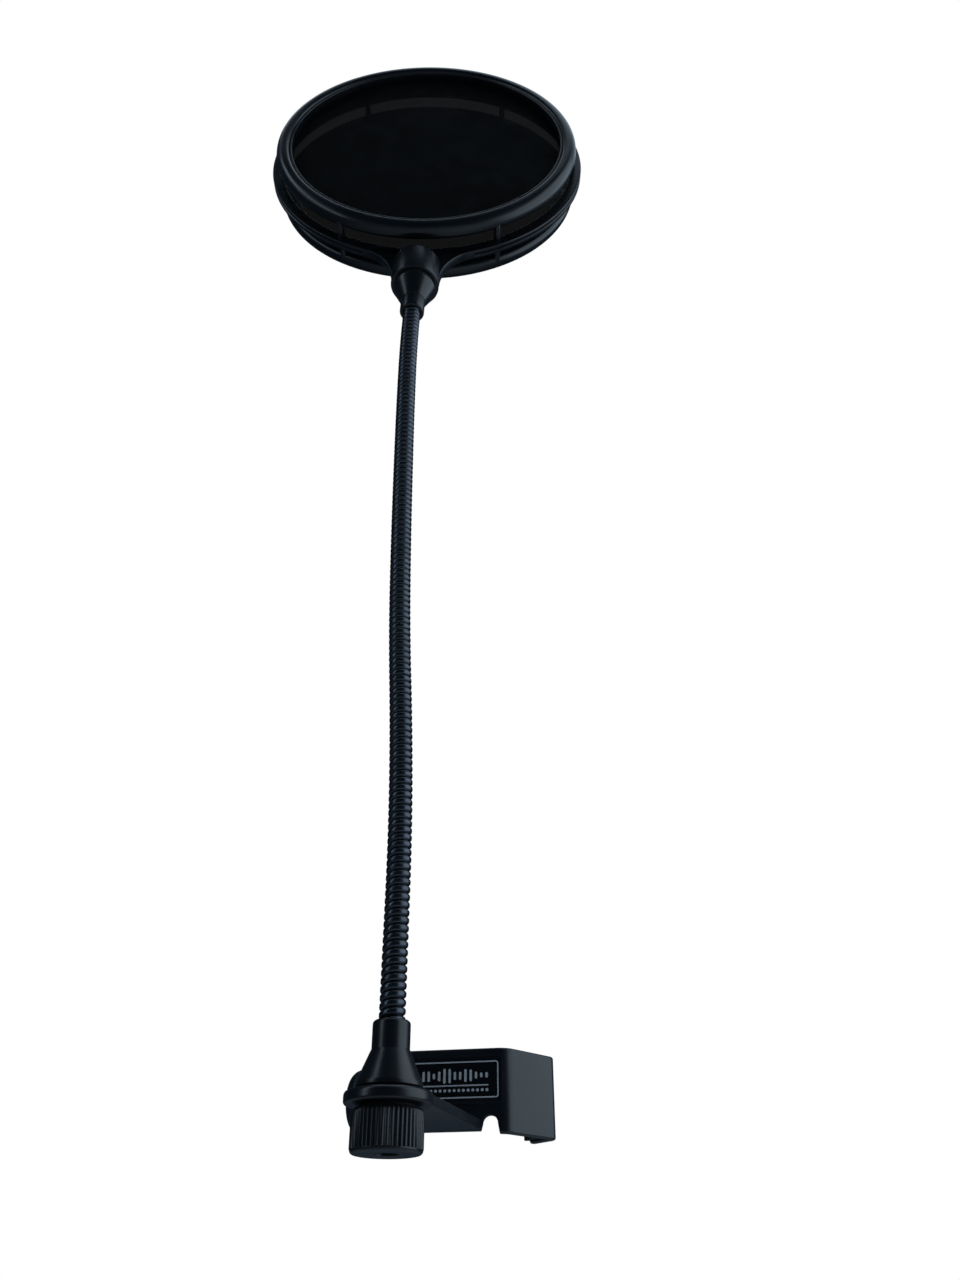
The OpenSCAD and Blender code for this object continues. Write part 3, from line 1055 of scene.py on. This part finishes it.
def upright_slab(bm, plan, low, high, edge):
    """Adds a plan of (x, y, rounding) corners, raised from low to high, with softened edges."""
    part = bmesh.new()
    verts = [part.verts.new((x, y, low)) for x, y, _ in plan]
    for first, second in zip(verts, verts[1:] + verts[:1]):
        part.edges.new((first, second))
    for vert, (_, _, rounding) in zip(verts, plan):
        if rounding:
            bmesh.ops.bevel(
                part,
                geom=[vert],
                offset=rounding,
                offset_type="OFFSET",
                segments=8,
                profile=0.5,
                affect="VERTICES",
                material=-1,
            )
    face = bmesh.ops.contextual_create(part, geom=part.edges[:])["faces"][0]
    moved = bmesh.ops.extrude_face_region(part, geom=[face])["geom"]
    bmesh.ops.translate(
        part, vec=(0, 0, high - low), verts=[v for v in moved if isinstance(v, bmesh.types.BMVert)]
    )
    bmesh.ops.recalc_face_normals(part, faces=part.faces)
    level = [e for e in part.edges if abs(e.verts[0].co.z - e.verts[1].co.z) < 0.01]
    soften(part, [e for e in level if e.calc_face_angle(0) > 1], edge)
    merge_into(bm, part)


def rounded_plan(wide, tall, corner, steps=6):
    """A rectangle with round corners, as points round its middle."""
    points = []
    for quarter, (sx, sz) in enumerate(((1, 1), (-1, 1), (-1, -1), (1, -1))):
        cx, cz = sx * (wide / 2 - corner), sz * (tall / 2 - corner)
        for i in range(steps + 1):
            a = math.radians(90) * (quarter + i / steps)
            points.append((cx + corner * math.cos(a), cz + corner * math.sin(a)))
    return points


def border(bm, wide, tall, corner, line, low, high, place=Matrix.Identity(4)):
    """Adds a rounded rectangular line of that width to bm, thick from low to high along Y."""
    part = bmesh.new()
    loops = []
    for inward, depth in ((0, low), (0, high), (line, high), (line, low)):
        plan = rounded_plan(wide - 2 * inward, tall - 2 * inward, max(corner - inward, 0.1))
        loops.append([part.verts.new((x, depth, z)) for x, z in plan])
    for first, second in zip(loops, loops[1:] + loops[:1]):
        for i in range(len(first)):
            part.faces.new((first[i - 1], first[i], second[i], second[i - 1]))
    bmesh.ops.recalc_face_normals(part, faces=part.faces)
    merge_into(bm, part, place)


class POPFILTER_OT_bracket(PieceOperator, bpy.types.Operator):
    """Builds the clamp bracket, its badge and the rubber saddle"""

    bl_idname = "popfilter.bracket"
    bl_label = "Clamp bracket"

    def execute(self, context):
        clamp = settings().clamp
        bm = bmesh.new()
        edge = mm(clamp.edge)
        upright_slab(bm, wall_plan(mm(clamp.corner)), WALL_LOW, WALL_TALL, edge)
        body = finished("bracket", bm, moulded_abs())

        cutter = bmesh.new()
        arch = [
            (NOTCH_U + NOTCH_R * math.cos(a), NOTCH_TOP - NOTCH_R + NOTCH_R * math.sin(a))
            for a in (math.pi * i / 16 for i in range(17))
        ]
        # Left of the notch the wall stops level with the foot plate; right of it, a little lower.
        left, below = WALL_LEFT - 2, WALL_LOW - 2
        arch += [(NOTCH_U - NOTCH_R - 0.6, 0), (left, 0), (left, below), (NOTCH_U + NOTCH_R + 0.9, below)]
        slab(cutter, arch, WALL_V - 3, WALL_V + 6)
        half_wide, half_tall, pocket = LABEL_WIDE / 2 + 0.1, LABEL_TALL / 2 + 0.1, 0.7
        block(
            cutter,
            (LABEL_U - half_wide, WALL_V - 1, LABEL_W - half_tall),
            (LABEL_U + half_wide, WALL_V + pocket, LABEL_W + half_tall),
        )
        cut_out(body, cutter)

        bm = bmesh.new()
        bm.from_mesh(body.data)
        bpy.data.objects.remove(body)
        # The plate and the arm stand a hair inside the wall and eye, so that no faces coincide.
        upright_slab(bm, foot_plan(), 0.04, FOOT_THICK, 0.5)
        eye = [
            (EYE_HOLE, 0, 0.2),
            (EYE_RADIUS, 0, 0.9),
            (EYE_RADIUS, EYE_THICK, 1.2),
            (EYE_HOLE, EYE_THICK, 0.2),
        ]
        spun(bm, eye, 128)
        # The arm that holds the clamp screw: a block bored for the screw's bush.
        arm = bmesh.new()
        near = (WALL_LEFT + 0.03, WALL_V + 0.6, 0.02)
        block(arm, near, (WALL_LEFT + ARM_THICK, ARM_END, WALL_TALL - 0.02), edge)
        holder = finished("arm", arm, moulded_abs())
        bore = bmesh.new()
        bush = [(0, -1, 0), (BUSH_R, -1, 0), (BUSH_R, ARM_THICK + 1, 0), (0, ARM_THICK + 1, 0)]
        across = Matrix.Translation((WALL_LEFT, SCREW_V, SCREW_W)) @ TO_RIGHT
        spun(bore, bush, 48, closed=False, place=across)
        cut_out(holder, bore)
        bm.from_mesh(holder.data)
        bpy.data.objects.remove(holder)
        raised = Matrix.Translation((LABEL_U, WALL_V, LABEL_W))
        border(bm, 35.8, 14.7, 1.6, 0.5, -0.25, 0.2, raised)
        bracket = finished("bracket", bm, moulded_abs(), BRACKET)
        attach(bracket, "clamp")
        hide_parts("clamp_bracket")

        label = BRACKET @ raised
        bm = bmesh.new()
        slab(bm, rounded_plan(LABEL_WIDE, LABEL_TALL, 0.8), 0.08, 0.65, 0.08)
        badge = finished("badge", bm, badge_gloss(), label)
        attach(badge, "clamp")
        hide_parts("label_plate")

        bm = bmesh.new()
        border(bm, 33.0, 11.2, 0.9, 0.42, 0.0, 0.1)
        count = clamp.wave_bars
        for i in range(count):
            x = -11.8 + 24.4 * i / (count - 1)
            swell = abs(math.sin(2.4 * i)) * math.sin(math.pi * (i + 0.8) / (count + 0.6))
            tall = 1.2 + 3.6 * swell
            slab(bm, [(x + a, 1.25 + b) for a, b in rounded_plan(0.8, tall, 0.35, 3)], 0.0, 0.1)
        slab(bm, [(0.4 + a, -1.75 + b) for a, b in rounded_plan(25.6, 0.42, 0.2, 3)], 0.0, 0.1)
        dots = 17
        for i in range(dots):
            x = -11.9 + 24.6 * i / (dots - 1)
            slab(bm, [(x + a, -3.2 + b) for a, b in rounded_plan(0.95, 0.95, 0.45, 3)], 0.0, 0.1)
        motif = finished("badge_print", bm, silver_print(), label)
        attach(motif, "clamp")

        bm = from_cad("jaw_liner")
        soften(bm, sharp_edges(bm), 0.35)
        liner = finished("liner", bm, moulded_rubber(), IN_MM)
        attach(liner, "clamp")
        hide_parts("jaw_liner")
        return {"FINISHED"}


class POPFILTER_OT_hardware(PieceOperator, bpy.types.Operator):
    """Gives the frame's own inserts and upper stud their metals"""

    bl_idname = "popfilter.hardware"
    bl_label = "Metal hardware"

    def execute(self, context):
        for metal, nodes in (
            (turned_brass(), ("screw_bush", "nut_insert", "socket_insert")),
            (zinc_plate(), ("upper_stud",)),
        ):
            for node in nodes:
                for slot in frame["nodes"][node].material_slots:
                    slot.material = metal
        return {"FINISHED"}


# ---- stage -----------------------------------------------------------------------

def softbox(name, place, target, wide, tall, radiance):
    """A soft area light of that brightness, facing the target."""
    data = bpy.data.lights.new(name, "AREA")
    data.shape = "RECTANGLE"
    data.size = wide
    data.size_y = tall
    data.energy = radiance * math.pi * wide * tall
    data.color = (0.70, 0.86, 1.0)
    light = bpy.data.objects.new(name, data)
    bpy.context.scene.collection.objects.link(light)
    light.location = place
    light.rotation_euler = (Vector(target) - Vector(place)).to_track_quat("-Z", "Y").to_euler()


class POPFILTER_OT_stage(PieceOperator, bpy.types.Operator):
    """Builds the camera, the pale floor, the backdrop and the soft lights"""

    bl_idname = "popfilter.stage"
    bl_label = "Stage"

    def execute(self, context):
        scene = bpy.context.scene
        stage = settings().stage
        camera = bpy.data.objects.new("camera", bpy.data.cameras.new("camera"))
        scene.collection.objects.link(camera)
        camera.data.sensor_width = 36
        camera.data.lens = 29.25
        camera.data.clip_start = 0.01
        camera.location = (-0.00717, -0.37624, -0.06165)
        camera.rotation_euler = (math.radians(90 + 33.1), 0, 0)
        scene.camera = camera

        bm = bmesh.new()
        bmesh.ops.create_grid(bm, x_segments=8, y_segments=8, size=4)
        bmesh.ops.translate(bm, vec=(0, 0, FOOT_Z - stage.floor_drop), verts=bm.verts)
        mesh = bpy.data.meshes.new("floor")
        bm.to_mesh(mesh)
        bm.free()
        mesh.materials.append(painted_floor())
        floor = bpy.data.objects.new("floor", mesh)
        scene.collection.objects.link(floor)

        world = bpy.data.worlds.new("backdrop")
        scene.world = world
        world.use_nodes = True
        tree = world.node_tree
        tree.nodes.clear()
        white = add(tree, "Background", {"Color": (1, 1, 1, 1), "Strength": stage.backdrop})
        room = add(tree, "Background", {"Color": (0.4, 0.65, 1, 1), "Strength": stage.room})
        seen = add(tree, "LightPath").outputs["Is Camera Ray"]
        mixed = add(tree, "MixShader", {0: seen, 1: room.outputs[0], 2: white.outputs[0]})
        tree.links.new(mixed.outputs[0], add(tree, "OutputWorld").inputs["Surface"])
        scene.view_settings.view_transform = "Standard"

        lo, hi = CAD_BOX
        aim = (lo + hi) / 2
        softbox("softbox_right", (1.3, -0.25, 0.5), aim, 1.7, 2.2, 1.35)
        softbox("softbox_left", (-1.1, -0.7, 0.65), aim, 0.26, 1.7, 1.9)
        softbox("softbox_top", (0.1, 0.2, 1.9), aim, 1.6, 1.6, 1.0)
        return {"FINISHED"}


# ---- add-on ----------------------------------------------------------------------

STEPS = (
    POPFILTER_OT_stage,
    POPFILTER_OT_hose,
    POPFILTER_OT_ferrules,
    POPFILTER_OT_hoop,
    POPFILTER_OT_rings,
    POPFILTER_OT_bracket,
    POPFILTER_OT_swivel,
    POPFILTER_OT_screw,
    POPFILTER_OT_hardware,
)


class POPFILTER_PT_panel(bpy.types.Panel):
    """Lists the steps that build the pop filter"""

    bl_idname = "POPFILTER_PT_panel"
    bl_label = "Pop filter"
    bl_space_type = "VIEW_3D"
    bl_region_type = "UI"
    bl_category = "Pop filter"

    def draw(self, context):
        for step in STEPS:
            self.layout.operator(step.bl_idname)
        for group in ("head", "hose", "clamp", "finish", "stage"):
            box = self.layout.box()
            values = getattr(settings(), group)
            for name in values.bl_rna.properties.keys():
                if name not in ("rna_type", "name"):
                    box.prop(values, name)


CLASSES = (
    HeadSettings,
    HoseSettings,
    ClampSettings,
    FinishSettings,
    StageSettings,
    PopFilterSettings,
    *STEPS,
    POPFILTER_PT_panel,
)


def register():
    for cls in CLASSES:
        bpy.utils.register_class(cls)
    bpy.types.Scene.pop_filter = PointerProperty(type=PopFilterSettings)


def unregister():
    del bpy.types.Scene.pop_filter
    for cls in reversed(CLASSES):
        bpy.utils.unregister_class(cls)


def main():
    register()
    for step in STEPS:
        group, name = step.bl_idname.split(".")
        getattr(getattr(bpy.ops, group), name)()


if __name__ == "__main__":
    main()
